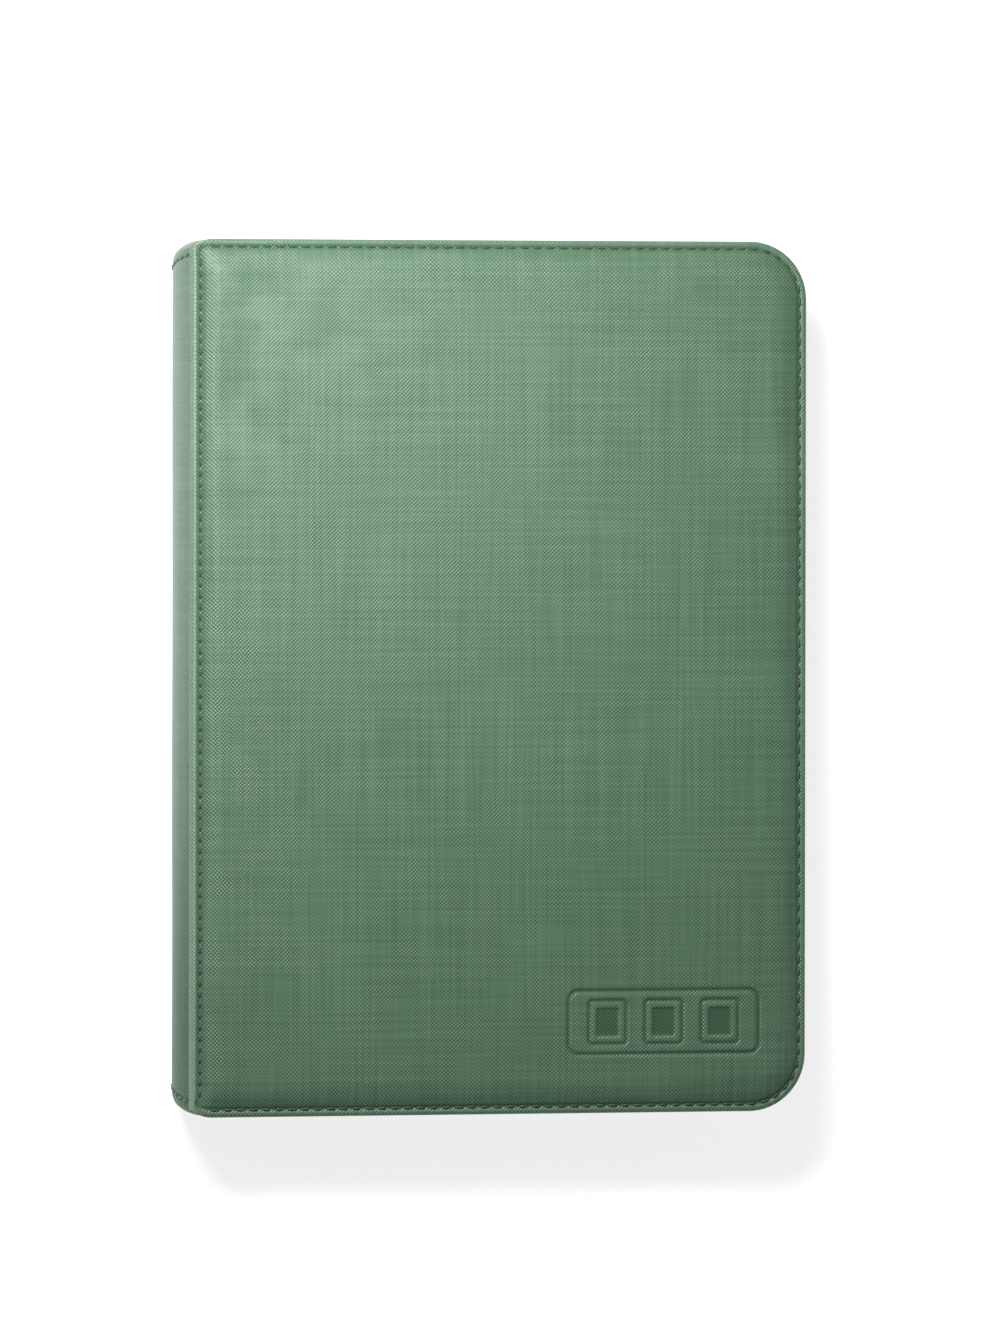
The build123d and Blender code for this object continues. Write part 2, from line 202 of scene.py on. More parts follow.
class Finish:
    """A material under construction: its node tree, its surface shader, and short ways to add nodes."""

    def __init__(self, name):
        self.material = bpy.data.materials.new(name)
        self.material.use_nodes = True
        self.tree = self.material.node_tree
        self.shader = self.tree.nodes["Principled BSDF"]

    def add(self, kind, settings=None, **inputs):
        """A node of that kind; inputs are values or sockets, named by label with _ for a space, or i and number."""
        node = self.tree.nodes.new(kind)
        for key, value in (settings or {}).items():
            setattr(node, key, value)
        for key, value in inputs.items():
            self.feed(node, key.replace("_", " ") if not key[1:].isdigit() else int(key[1:]), value)
        return node

    def feed(self, node, key, value):
        """Links a socket into an input, or sets the input's own value."""
        if isinstance(value, bpy.types.NodeSocket):
            self.tree.links.new(value, node.inputs[key])
        else:
            node.inputs[key].default_value = value

    def look(self, **inputs):
        """Sets or links inputs of the surface shader and hands back the finished material."""
        for key, value in inputs.items():
            self.feed(self.shader, key.replace("_", " "), value)
        return self.material

    def maths(self, operation, a, b=0.0, c=0.0):
        """One step of arithmetic on sockets or numbers."""
        return self.add("ShaderNodeMath", {"operation": operation}, i0=a, i1=b, i2=c).outputs[0]

    def places(self, coordinate):
        """The cloth coordinates in millimetres, or the object's own coordinates in metres."""
        if coordinate == "cloth":
            return self.add("ShaderNodeUVMap", {"uv_map": "cloth"}).outputs["UV"]
        return self.add("ShaderNodeTexCoord").outputs["Object"]

    def noise(self, place, scale, detail=2.0, roughness=0.5):
        """Soft noise from 0 to 1, mostly near a half."""
        node = self.add("ShaderNodeTexNoise", Vector=place, Scale=scale, Detail=detail, Roughness=roughness)
        return node.outputs[0]

    def streaks(self, place, per_mm_u, per_mm_v):
        """Uneven tone of thick and thin threads: noise stretched along one direction."""
        stretched = self.add("ShaderNodeMapping", Vector=place, Scale=(per_mm_u, per_mm_v, 1.0))
        return self.noise(stretched.outputs[0], 1.0)

    def attribute(self, name):
        """A number that the mesh carries at each point."""
        return self.add("ShaderNodeAttribute", {"attribute_name": name}).outputs["Fac"]

    def blend(self, factor, a, b):
        """Mixes two colours by a factor from 0 to 1."""
        return self.add("ShaderNodeMix", {"data_type": "RGBA"}, i0=factor, i6=a, i7=b).outputs[2]

    def remap(self, value, low, high, to_low, to_high):
        """Maps a value from one range to another, held at both ends."""
        ends = {"From_Min": low, "From_Max": high, "To_Min": to_low, "To_Max": to_high}
        return self.add("ShaderNodeMapRange", {"clamp": True}, Value=value, **ends).outputs[0]

    def bump(self, height, strength, distance, under=None):
        """Turns a height into a bumped normal, over another one if given."""
        node = self.add("ShaderNodeBump", Strength=strength, Distance=distance, Height=height)
        if under is not None:
            self.feed(node, "Normal", under)
        return node.outputs[0]


def rgb(red, green, blue):
    """A colour from 0-255 screen values, as the linear numbers that shaders use."""
    share = [v / 255 for v in (red, green, blue)]
    return (*[v / 12.92 if v <= 0.04045 else ((v + 0.055) / 1.055) ** 2.4 for v in share], 1.0)


# %% [markdown]
# ## The imitation leather
# The skin is a coated cloth, pressed with a fine basket grain: tiny raised squares in staggered rows. Two
# crossed sine waves multiplied together give just that pattern. Stretched noise in both directions gives the
# streaks of the cloth underneath, a fine noise roughens the coat, and a wide one makes the colour uneven.
# Along the ridge beside the crease and over the folded edges the skin is paled, partly as wear and partly as a
# painted highlight. The seam grooves, and the spine more and more towards its tail, are darkened with painted
# shade and made matt, and where the ornament is pressed the skin is dark and matt too.

# %% Green skin
WEAVE_MM = 1.57
SLUB = 1.5  # how much the streaks count beside the grain
STREAK_ALONG, STREAK_ACROSS = 0.014, 0.75  # changes of tone per millimetre


def weave(finish, uv, period):
    """Crossed waves: sin(2 pi u / period) x sin(2 pi v / period), which raise squares in staggered rows."""
    split = finish.add("ShaderNodeSeparateXYZ", Vector=uv)
    turn = 2 * math.pi / period
    return finish.maths("MULTIPLY", *[
        finish.maths("SINE", finish.maths("MULTIPLY", split.outputs[axis], turn)) for axis in (0, 1)
    ])


def leatherette():
    """Green coated cloth: basket grain, streaks, folds paled by wear and a painted highlight, painted shade and
    pressing in dark matt places.
    """
    finish = Finish("sage_leatherette")
    uv = finish.places("cloth")
    patches = finish.noise(uv, 0.018, 3.0, 0.6)
    pores = finish.noise(uv, 2.6, 4.0, 0.7)
    pale = finish.blend(patches, rgb(98, 133, 106), rgb(114, 148, 121))
    deep = finish.blend(patches, rgb(62, 95, 69), rgb(72, 105, 79))
    strength = finish.remap(finish.noise(uv, 0.06), 0.35, 0.65, 0.5, 1.15)
    grain = finish.maths("MULTIPLY", weave(finish, uv, WEAVE_MM), strength)
    level = finish.streaks(uv, STREAK_ALONG, STREAK_ACROSS)
    upright = finish.streaks(uv, STREAK_ACROSS, STREAK_ALONG)
    tone = finish.maths("MULTIPLY_ADD", finish.maths("ADD", level, upright), SLUB, grain)
    colour = finish.blend(finish.remap(tone, SLUB - 1, SLUB + 1, 0.0, 1.0), deep, pale)
    # Painted shade: the seam grooves and the spine, most at its tail, are darkened and made matt; the pressed
    # ornament is darkened too.
    press_and_shade = finish.attribute("press_and_shade")
    colour = finish.blend(finish.maths("MULTIPLY", press_and_shade, 0.55), colour, rgb(48, 78, 55))
    # Partly wear, partly a painted highlight: the ridge and the folded edges are paled towards a highlight colour.
    paled_by_wear_and_highlight = finish.maths("MULTIPLY", finish.attribute("wear_and_highlight"), finish.remap(pores, 0.3, 0.7, 0.35, 0.8))
    return finish.look(
        Base_Color=finish.blend(paled_by_wear_and_highlight, colour, rgb(160, 184, 166)),
        Roughness=finish.remap(pores, 0.2, 0.8, 0.32, 0.44),
        Normal=finish.bump(grain, 0.6, 0.00016, finish.bump(pores, 0.25, 0.00008)),
        Specular_IOR_Level=finish.remap(press_and_shade, 0.0, 1.0, 0.65, 0.1),
    )


SKIN = leatherette()

# %% [markdown]
# ## Shape of a cover
# Seen from above, a cover is a rectangle with two round fore corners and two soft corners beside the spine.
# Rings set in from that outline carry the folded hem, the flat sewn rim and the slope of the padding, and the
# flat middle is a plain grid. The padding's height depends only on the distance to the nearest edge.

# %% Outline rings of a cover
CORNER_STEPS = 22
SOFT_STEPS = 6
GRID_INSET = FORE_RADIUS  # where the rings end and the grid begins
FORE_CENTRE = (X_FORE - FORE_RADIUS, HALF - FORE_RADIUS)
QUARTER = math.pi / 2


def soft_run(drop):
    """Length along the edge of a soft corner that falls back by drop."""
    return math.sqrt(2 * CREASE_RADIUS * drop - drop**2)


def crease_corner(inset, drop):
    """Half length of the crease side and opening angle of the soft corner, for a ring set in by that much."""
    run = soft_run(drop)
    if inset >= run:
        return HALF - inset, 0.0
    angle = math.asin((run - inset) / (CREASE_RADIUS - inset))
    return HALF - CREASE_RADIUS + (CREASE_RADIUS - inset) * math.cos(angle), angle


def cover_ring(inset, gx, gy, drop):
    """Points round a cover at one inset, from the tail end of the crease: tail, fore edge, head, crease."""
    half_crease, angle = crease_corner(inset, drop)
    y_side = HALF - inset
    x_left = X_CREASE + max(soft_run(drop), inset)
    centre_x, centre_y = FORE_CENTRE
    straight_x = x_left + (gx - gx[0]) / (gx[-1] - gx[0]) * (centre_x - x_left)
    straight_y = np.interp(gy, [gy[0], gy[-1]], [-centre_y, centre_y])
    crease_y = gy / gy[-1] * half_crease
    radius = max(CREASE_RADIUS - inset, 0.0) if angle else 0.0
    soft = np.linspace(angle, 0, SOFT_STEPS, endpoint=False)
    back = angle - soft
    turn = np.linspace(0, QUARTER, CORNER_STEPS, endpoint=False)
    across, ahead = (FORE_RADIUS - inset) * np.sin(turn), (FORE_RADIUS - inset) * np.cos(turn)
    parts = [
        (x_left - radius * np.sin(soft), radius - y_side - radius * np.cos(soft)),
        (straight_x[:-1], np.full(len(gx) - 1, -y_side)),
        (centre_x + across, -centre_y - ahead),
        (np.full(len(gy) - 1, X_FORE - inset), straight_y[:-1]),
        (centre_x + ahead, centre_y + across),
        (straight_x[:0:-1], np.full(len(gx) - 1, y_side)),
        (x_left - radius * np.sin(back), y_side - radius * (1 - np.cos(back))),
        (np.full(len(gy) - 1, X_CREASE + inset), crease_y[:0:-1]),
    ]
    return np.concatenate([np.column_stack(part) for part in parts])


def edge_distance(x, y, drop):
    """Distance to the nearest sewn edge: head, tail, fore edge or the round corners between them."""
    far = np.abs(y)
    distance = np.minimum(HALF - far, X_FORE - x)
    cx, cy = FORE_CENTRE
    distance = np.where((x > cx) & (far > cy), FORE_RADIUS - np.hypot(x - cx, far - cy), distance)
    sx, sy = X_CREASE + soft_run(drop), HALF - CREASE_RADIUS
    return np.where((x < sx) & (far > sy), CREASE_RADIUS - np.hypot(x - sx, far - sy), distance)


# %% [markdown]
# ## Height of the padded cover
# Foam under the skin makes a low cushion. It is held down by two seams, one round the rim and one beside the
# crease, where the skin also stands up in a narrow ridge over the edge of the spine. The middle is crowned by
# a fraction of a millimetre, with slow waves as in any glued padding, and there is a blind-stamped ornament:
# a plain frame round three upright cards.

# %% Height functions
EDGE_SEAM = 3.0  # from the outline to the rim's seam
HINGE_SEAM = 3.1  # from the crease to the seam beside it
RIDGE_AT = 0.95  # from the crease to the top of its ridge
CROWN_RUN, CREASE_RUN = 11.5, 7.0  # widths of the padding's slopes
STAMP_CENTRE = (X_CREASE + 191.0, -136.5)
STAMP_HALF = (39.0, 12.5)
STAMP_DEPTH = 0.55
CARD_SHIFTS = (-23.0, 0.0, 23.0)


def outside(x, y, half_x, half_y, radius):
    """Distance outside a rounded rectangle's outline, negative inside it."""
    qx, qy = np.abs(x) - (half_x - radius), np.abs(y) - (half_y - radius)
    return np.hypot(np.maximum(qx, 0), np.maximum(qy, 0)) + np.minimum(np.maximum(qx, qy), 0) - radius


def stamp(x, y):
    """Depth of the ornament from 0 to 1: a frame round three upright cards, each with a window pressed flat."""
    u, v = x - STAMP_CENTRE[0], y - STAMP_CENTRE[1]
    depth = dent(outside(u, v, *STAMP_HALF, 4.0), 0.75)
    for shift in CARD_SHIFTS:
        depth = np.maximum(depth, dent(outside(u - shift, v, 7.6, 8.6, 1.6), 0.7))
        depth = np.maximum(depth, ramp(0.5 - outside(u - shift, v, 4.6, 5.6, 0.8) / 0.9))
    return depth


def cover_height(x, y, stamped, drop=FRONT_DROP):
    """Height of the skin over the rim's level, from the distances to the sewn edge and to the crease."""
    edge = edge_distance(x, y, drop)
    crease = x - X_CREASE
    pad = (TOP - Z_RIM) * swell((edge - EDGE_SEAM - 0.5) / CROWN_RUN, 2.3)
    pad = pad * swell((crease - HINGE_SEAM - 0.6) / CREASE_RUN, 2.0)
    u, v = (x - (X_CREASE + X_FORE) / 2) / 125, y / HALF
    inner = ramp((edge - 12) / 20) * ramp((crease - 8) / 20)
    waves = 0.02 * np.sin(x / 21 + 1.3 * np.sin(y / 37)) + 0.02 * np.sin(y / 29 + 0.8 * np.sin(x / 31) + 2)
    pad = pad + inner * (0.28 * (1 - u * u) * (1 - v * v) + waves)
    along = ramp((HALF - drop - np.abs(y)) / 4)
    ridge = 0.55 * dent(crease - RIDGE_AT, 0.62) - 0.5 * dent(crease - HINGE_SEAM, 0.85)
    height = pad - 0.42 * dent(edge - EDGE_SEAM, 0.75) + along * ridge
    return height - STAMP_DEPTH * stamp(x, y) if stamped else height


def press_and_seam_shade(x, y, stamped, drop):
    """How much the skin is darkened at a place, from 0 to 1: painted shade along both seam grooves, and pressing in
    the ornament.
    """
    edge = edge_distance(x, y, drop)
    mark = 0.4 * dent(edge - EDGE_SEAM, 0.8) + 0.4 * dent(x - X_CREASE - HINGE_SEAM, 0.9)
    return np.clip(mark + (stamp(x, y) if stamped else 0), 0, 1)


# %% [markdown]
# ## Building the skins
# The rings start under the cover, on the turned-in hem, go round the folded edge, and then walk inwards over
# the rim, the seam and the padding. On the crease side the same rings go down over the corner onto the spine
# instead, so the skin is unbroken there. The middle grid has finer lines where
# the ornament is stamped.

# %% Profiles and grid lines
HEM_RADIUS = (Z_RIM - Z_HEM) / 2
HEM = [(5.2, Z_HEM), (3.2, Z_HEM), (1.5, Z_HEM)]  # inset and level, from under the cover to the folded edge
for slope in np.radians([-65, -40, -15, 10, 35, 60]):
    HEM.append((HEM_RADIUS * (1 - math.cos(slope)), Z_HEM + HEM_RADIUS * (1 + math.sin(slope))))
Z_SKIRT = 33.2  # where a cover skin ends on the spine
RIDGE = [(0.0, Z_SKIRT), (0.0, 33.7), (0.0, 34.2), (0.0, 34.6), (0.0, 34.95)]  # the same on the crease side
RIDGE += [(0.03, 35.3), (0.14, 35.65), (0.36, 35.93), (0.66, 36.1)]
TOP_INSETS = [1.3, 1.7, 2.0, 2.3, 2.6, 2.85, 3.1, 3.4, 3.75, 4.15, 4.6, 5.1, 5.7, 6.3, 7, 7.8, 8.7, 9.7, 10.8, 12]
TOP_INSETS += [13.3, 14.8, 16.5, 18.5, 20.7, GRID_INSET]
STAMP_INSETS = TOP_INSETS[:-4] + [17.0, *np.arange(18.0, GRID_INSET, 0.55), GRID_INSET]


def spine_crown(z):
    """How far the spine bulges at a level: bulge x (1 - q^2), with q from -1 to 1 between the creases."""
    q = (z - MID) / (Z_RIM - MID)
    return SPINE_BULGE * np.clip(1 - q * q, 0, 1)


def corner_edge(depth, drop):
    """Half height of a cover's outline, depth past its crease: an arc that ends drop back at the crease."""
    away = np.maximum(soft_run(drop) - depth, 0)
    return HALF - CREASE_RADIUS + np.sqrt(CREASE_RADIUS**2 - away**2)


def end_edge(z, depth):
    """The closed end at a level: from the front cover's outline to the back cover's, a little faster low down."""
    t = np.clip((Z_RIM - z) / (Z_RIM - 6.0), 0, 1) ** 1.1
    return (1 - t) * corner_edge(depth, FRONT_DROP) + t * corner_edge(depth, BACK_DROP)


def grid_lines(low, high, step, focus=None, fine=0.5):
    """Grid lines from low to high, a step apart, and closer together inside the focus."""
    if focus is None:
        return np.linspace(low, high, round((high - low) / step) + 1)
    a, b = max(focus[0], low), min(focus[1], high)
    parts = [np.linspace(a, b, round((b - a) / fine) + 1)]
    if a > low:
        parts.insert(0, np.linspace(low, a, round((a - low) / step) + 1)[:-1])
    if b < high:
        parts.append(np.linspace(b, high, round((high - b) / step) + 1)[1:])
    return np.concatenate(parts)


def cover_grid(step, focus_x=None, focus_y=None):
    """Grid lines of a cover's flat middle, both ways."""
    gx = grid_lines(X_CREASE + GRID_INSET, X_FORE - GRID_INSET, step, focus_x, 0.55)
    return gx, grid_lines(-HALF + GRID_INSET, HALF - GRID_INSET, step, focus_y, 0.5)


# %% Build the cover skins


def left_to_walk(profile, last):
    """Length along a profile from each of its points to the last one."""
    steps = [math.dist(a, b) for a, b in zip(profile, [*profile[1:], last])]
    return np.cumsum(steps[::-1])[::-1]


def crease_share(count, on_crease):
    """1 for the ring's points on the crease side, 0 elsewhere, and eased over the soft corners."""
    share = np.zeros(count)
    ease = ramp(np.arange(SOFT_STEPS) / (SOFT_STEPS - 1))
    first = count - on_crease
    share[first:] = 1
    share[:SOFT_STEPS] = ease[::-1]
    share[first - SOFT_STEPS : first] = ease
    return share


def cover_skin(side):
    """A padded cover skin: only the front one is stamped, and the back one is turned over."""
    stamped, turned = side == "front", side == "back"
    drop = BACK_DROP if turned else FRONT_DROP
    focus = ((None, None), (
        (STAMP_CENTRE[0] - STAMP_HALF[0] - 2, X_FORE), (-HALF, STAMP_CENTRE[1] + STAMP_HALF[1] + 2)
    ))[stamped]
    gx, gy = cover_grid(2.6, *focus)
    base = cover_ring(HEM_RADIUS, gx, gy, drop)
    share = crease_share(len(base), len(gy) - 1)
    outward = cover_ring(0.0, gx, gy, drop) - cover_ring(0.5, gx, gy, drop)
    outward = outward / np.maximum(np.linalg.norm(outward, axis=1, keepdims=True), 1e-9)
    away = left_to_walk(HEM, (HEM_RADIUS, Z_RIM))[:, None] * (1 - share)
    away = away + left_to_walk(RIDGE, (1.3, 36.0))[:, None] * share
    rows, cloth, wear_and_highlight, press_and_shade = [], [], [], []
    for walked, (inset, z), (inset_c, z_c) in zip(away, HEM, RIDGE):
        sewn = cover_ring(inset, gx, gy, drop)
        folded = cover_ring(inset_c, gx, gy, drop)
        folded[:, 0] = folded[:, 0] - spine_crown(np.array(z_c))
        folded[:, 1] = folded[:, 1] * end_edge(TOP - z_c if turned else z_c, 0.0) / (HALF - drop)
        rows.append(at_level(sewn * (1 - share[:, None]) + folded * share[:, None], z * (1 - share) + z_c * share))
        cloth.append(base + outward * walked[:, None])
        # The folded rim and the ridge's top are paled: partly wear, partly a painted highlight.
        wear_and_highlight.append((1 - share) * 0.25 * dent(z - Z_RIM + 0.6, 0.8) + share * 0.8 * dent(z_c - 36.1, 0.5))
        press_and_shade.append(np.zeros(len(base)))
    for inset in STAMP_INSETS if stamped else TOP_INSETS:
        plan = cover_ring(inset, gx, gy, drop)
        x, y = plan.T
        rows.append(at_level(plan, Z_RIM + cover_height(x, y, stamped, drop)))
        cloth.append(plan)
        # The ridge's crest and the outer edge are paled, partly as wear and partly as a painted highlight; the seams
        # get painted shade.
        crest = dent(x - X_CREASE - RIDGE_AT, 0.45) * ramp((HALF - 6 - np.abs(y)) / 4)
        wear_and_highlight.append(0.8 * crest + 0.12 * dent(edge_distance(x, y, drop) - 1.5, 0.9))
        press_and_shade.append(press_and_seam_shade(x, y, stamped, drop))
    ring_faces = grid_faces(len(rows), len(base), around=True)
    faces = np.concatenate([ring_faces, grid_faces(len(gy), len(gx), start=len(rows) * len(base))])
    middle = grid_points(gx, gy)
    x, y = middle.T
    points = np.concatenate([*rows, at_level(middle, Z_RIM + cover_height(x, y, stamped, drop))])
    values = {
        "wear_and_highlight": np.concatenate([*wear_and_highlight, np.zeros(len(middle))]),
        "press_and_shade": np.concatenate([*press_and_shade, press_and_seam_shade(x, y, stamped, drop)]),
    }
    if turned:
        points, faces = turn_over(points, faces)
    cloth = np.concatenate([*cloth, middle])
    return make_piece(f"{side}_cover_skin", points, faces, SKIN, cloth, values, merge=CLOSE)


front_skin = cover_skin("front")
back_skin = cover_skin("back")

# %% Foam under the skins
FOAM_GAP = 1.1  # from the skin's outer face down to the foam
FOAM_FLOOR = Z_RIM - 0.6
FOAM_EDGE = 8.2  # inset where the pad ends
FOAM_INSETS = (FOAM_EDGE, 8.5, 9.2, 10.0, 11.0, 12.5, 14.5, 17.0, 20.0, GRID_INSET)


def cover_foam(side):
    """A sheet of foam glued to the board: it keeps under the skin, and its edge is cut where the pad ends."""
    drop = BACK_DROP if side == "back" else FRONT_DROP
    gx, gy = cover_grid(8.0)
    rows = [at_level(cover_ring(inset, gx, gy, drop), FOAM_FLOOR) for inset in (GRID_INSET, FOAM_EDGE)]
    for inset in FOAM_INSETS:
        plan = cover_ring(inset, gx, gy, drop)
        level = Z_RIM + cover_height(plan[:, 0], plan[:, 1], False, drop) - FOAM_GAP
        rows.append(at_level(plan, np.maximum(level, FOAM_FLOOR + 0.05)))
    middle = grid_points(gx, gy)
    top = Z_RIM + cover_height(middle[:, 0], middle[:, 1], False, drop) - FOAM_GAP
    points = np.concatenate([*rows, at_level(middle, top), at_level(middle, FOAM_FLOOR)])
    start = len(points) - 2 * len(middle)
    under = grid_faces(len(gy), len(gx), start=start + len(middle))[:, ::-1]
    ring_faces = grid_faces(len(rows), len(rows[0]), around=True)
    faces = np.concatenate([ring_faces, grid_faces(len(gy), len(gx), start=start), under])
    if side == "back":
        points, faces = turn_over(points, faces)
    piece = make_piece(f"{side}_pad_foam", points, faces, merge=CLOSE)
    hang(piece, f"{side}_cover", "padding_foam", f"{side}_foam")
    return piece


foams = [cover_foam("front"), cover_foam("back")]


def bend_at_crease(piece, low):
    """Bakes the piece's placement into its points; it does not bend, and both values of low do the same."""
    if low:
        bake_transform(piece)
    else:
        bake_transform(piece)


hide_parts("front_skin")
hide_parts("back_skin")
bend_at_crease(front_skin, low=False)
bend_at_crease(back_skin, low=True)

# %% [markdown]
# ## The padded spine
# The spine is its own panel: skin over thin foam on a board, crowned from crease to crease. Its surface is the
# crown carried along the height of the album. At each end it rolls over a small radius, goes in to close the
# end between the covers, and is tucked under onto the lining. Its long edges meet the cover skins without a
# step.

# %% Build the spine skin
SPINE_ROLL = 1.1
ROLL_ANGLES = np.linspace(math.radians(-15), QUARTER, 7)[:-1]
END_WALL = 0.3  # inset of the wall that closes the end
CLOTH_END = 165  # cloth coordinate of the end's outline
TUCK_ROWS = [  # depth of the outline, inset from it, own depth, 1 on the crown, length walked past the end
    (0.0, 2.6, 3.62, 0, 16.5),
    (0.0, 1.2, 4.0, 0, 15.0),
    (5.0, 2.2, 5.0, 0, 12.0),
    (7.8, 0.9, 7.9, 1, 9.0),
]
END_ROWS = [(END_WALL, depth, -depth) for depth in (7.8, 6.4, 5.0, 3.8, 2.8, 2.0)]  # inset, depth, walked inward
for angle in ROLL_ANGLES:
    END_ROWS.append((SPINE_ROLL * (1 - math.cos(angle)), SPINE_ROLL * (1 - math.sin(angle)), SPINE_ROLL * angle))
END_ROWS += [(inset, 0.0, inset) for inset in (2.0, 2.4, 2.8, 3.1, 3.4, 3.9, 4.6, 6.0, 8.0)]


def spine_rest(y, z):
    """How far the spine's surface is pushed in at a place: the seam line near each end, and slow waves."""
    inset = end_edge(z, 0.0) - np.abs(y)
    return 0.32 * dent(inset - EDGE_SEAM, 0.8) + 0.07 * np.sin(y / 23) * np.sin(z / 5)


def spine_end_rows(side, across):
    """Points and cloth places of one end, from the tuck on the lining out to the flat of the spine."""
    tuck = ramp((np.minimum(across - (TOP - Z_LINING), Z_LINING - across) - 0.5) / 1.2)
    rows, cloth = [], []
    for reach, inset, depth, crowned, walked in TUCK_ROWS:
        wall = end_edge(across, depth) - END_WALL - 0.05
        y = side * (wall + tuck * (end_edge(across, reach) - inset - wall))
        x = X_CREASE + depth - spine_crown(across) * (1 - tuck * (1 - crowned))
        rows.append((x, y))
        cloth.append(CLOTH_END + walked)
    for inset, depth, walked in END_ROWS:
        y = side * (end_edge(across, depth) - inset)
        rows.append((X_CREASE - spine_crown(across) + depth + spine_rest(y, across) * (depth < END_WALL), y))
        cloth.append(CLOTH_END - walked)
    return [(x, y, np.full(len(across), side * place)) for (x, y), place in zip(rows, cloth)]


def spine_skin():
    """Crowned panel with tucked ends: across runs z between the creases, and the rows run from tail to head."""
    across = np.linspace(TOP - Z_SKIRT, Z_SKIRT, 41)
    rows = spine_end_rows(-1, across)
    for y in np.linspace(-150, 150, 101):
        level = np.full(len(across), y)
        rows.append((X_CREASE - spine_crown(across) + spine_rest(level, across), level, level))
    rows += spine_end_rows(1, across)[::-1]
    points = np.concatenate([np.column_stack([x, y, across]) for x, y, _ in rows])
    cloth = np.concatenate([np.column_stack([place, across]) for _, _, place in rows])
    # Painted shade: the spine is darkened and made matt more and more towards its tail.
    shade = {"press_and_shade": 0.42 + 0.58 * ramp((60 - points[:, 1]) / 220)}
    piece = make_piece("spine_cover_skin", points, grid_faces(len(rows), len(across)), SKIN, cloth, shade)
    hang(piece, "spine", "cover_leatherette", "spine_skin", "spine_foam")


spine_skin()

# %% [markdown]
# ## Stitches
# A lockstitch shows as short arches of thread that dive into the leather at both ends. One stitch is a small
# tube whose middle line rises and falls as a sine, thick in the middle and thinner at the holes. Copies are
# placed along each seam and joined into one piece. The thread is darker than the skin.

# %% Thread finish


def thread_finish():
    """Twisted polyester thread: slanting stripes across the stitch and a soft sheen."""
    finish = Finish("sage_thread")
    place = finish.places("object")
    wave = finish.add("ShaderNodeTexWave", {"bands_direction": "DIAGONAL"}, Vector=place, Scale=900.0, Distortion=0.4)
    dust = finish.noise(place, 140.0)
    twist = finish.blend(wave.outputs["Fac"], rgb(34, 58, 40), rgb(62, 90, 68))
    return finish.look(
        Base_Color=finish.blend(finish.maths("MULTIPLY", dust, 0.3), twist, rgb(84, 112, 90)),
        Roughness=finish.remap(dust, 0.3, 0.7, 0.42, 0.6),
        Normal=finish.bump(wave.outputs["Fac"], 0.5, 0.0001),
        Sheen_Weight=0.25,
    )


THREAD = thread_finish()

# %% Stitch shape and rows of stitches
STITCH_RADIUS = 0.5
STITCH_RISE = 0.42
STITCH_SINK = 0.35
RINGS, RING_POINTS = 7, 6


def stitch_shape(length):
    """Tube along x: height rise x sin(pi t)^0.7 less the sink, thickness radius x (0.55 + 0.45 sin(pi t))."""
    t = np.linspace(0, 1, RINGS)[:, None]
    ring = np.linspace(0, 2 * math.pi, RING_POINTS, endpoint=False)[None, :]
    thick = STITCH_RADIUS * (0.55 + 0.45 * np.sin(math.pi * t))
    x = (t - 0.5) * length + 0 * ring
    z = STITCH_RISE * np.sin(math.pi * t) ** 0.7 - STITCH_SINK + thick * np.sin(ring)
    points = np.stack([x, thick * 1.15 * np.cos(ring), z], -1).reshape(-1, 3)
    first, last = list(range(RING_POINTS)), list(range(len(points) - RING_POINTS, len(points)))
    return points, grid_faces(RINGS, RING_POINTS, around=True).tolist() + [first[::-1], last]


def stitch_row(name, origins, along, up, length, seed, body, replaced):
    """Copies of the stitch with its own origin, direction and up at each place, a little uneven as sewing is."""
    rng = np.random.default_rng(seed)
    shape, faces = stitch_shape(length)
    count = len(origins)
    run = along + np.cross(up, along) * rng.normal(0, 0.035, count)[:, None]
    run = run / np.linalg.norm(run, axis=1, keepdims=True)
    size = rng.normal(1, 0.03, count)[:, None, None]
    points = origins[:, None, :] + size * shape[None, :, :1] * run[:, None, :]
    points = points + shape[None, :, 1:2] * np.cross(up, run)[:, None, :] + shape[None, :, 2:] * up[:, None, :]
    piece = make_piece(name, points.reshape(-1, 3), copies(faces, len(shape), count), THREAD)
    hang(piece, body, "thread", replaced)


# %% Paths that seams and the zip follow
LOOK_AHEAD = 0.05


def stations(path):
    """Length walked at each corner point of a plan path."""
    return np.concatenate([[0], np.cumsum(np.hypot(*np.diff(path, axis=0).T))])


def on_path(path, at):
    """Places on a plan path at the lengths walked."""
    return np.column_stack([np.interp(at, stations(path), path[:, axis]) for axis in (0, 1)])


def heading(path, at):
    """Direction of a plan path at the lengths walked."""
    return (on_path(path, at + LOOK_AHEAD) - on_path(path, at)) / LOOK_AHEAD


def fore_path(inset, x_from):
    """Tail, fore edge and head of a cover at one inset, from x_from round and back to x_from."""
    turn = np.linspace(0, QUARTER, 24)
    radius, (cx, cy) = FORE_RADIUS - inset, FORE_CENTRE
    low = np.column_stack([cx + radius * np.sin(turn), -cy - radius * np.cos(turn)])
    high = np.column_stack([cx + radius * np.cos(turn), cy + radius * np.sin(turn)])
    return np.concatenate([[[x_from, -HALF + inset]], low, high, [[x_from, HALF - inset]]])


def seam_points(path, pitch):
    """Evenly spaced places along a plan path, about a pitch apart, and the unit direction at each."""
    length = stations(path)[-1]
    count = round(length / pitch)
    at = (np.arange(count) + 0.5) * length / count
    along = heading(path, at)
    return on_path(path, at), along / np.linalg.norm(along, axis=1, keepdims=True)


# %% Sew the covers
EDGE_PITCH, EDGE_STITCH = 5.2, 3.9
HINGE_PITCH, HINGE_STITCH = 4.35, 3.0


